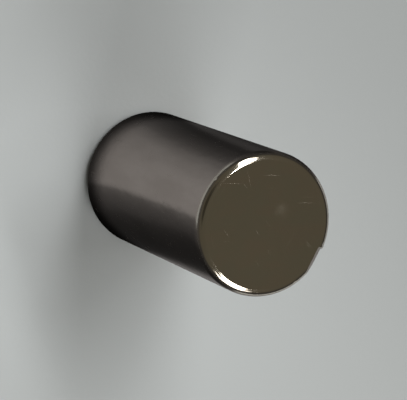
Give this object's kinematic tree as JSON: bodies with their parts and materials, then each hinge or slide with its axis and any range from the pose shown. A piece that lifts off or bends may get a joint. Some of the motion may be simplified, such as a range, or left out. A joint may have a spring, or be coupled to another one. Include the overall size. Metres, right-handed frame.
{
  "type": "cylinder magnet",
  "caption": "Solid nickel-plated cylinder magnet with flat pole faces and rounded rims, for holding itself or another part to steel.",
  "frame": {"origin": "centre of the lower pole face, which the magnet stands on", "axes": "+Z along the rod's axis to the upper pole face; the rod is round, so +X and +Y are any two square directions"},
  "size_m": [0.01, 0.01, 0.02],
  "materials": {
    "nickel_plating": "bright nickel plating over a ground rod, near-mirror pole faces, satin side, small nicks from handling"
  },
  "bodies": {
    "root": {"magnet": "nickel_plating"}
  },
  "joints": []
}
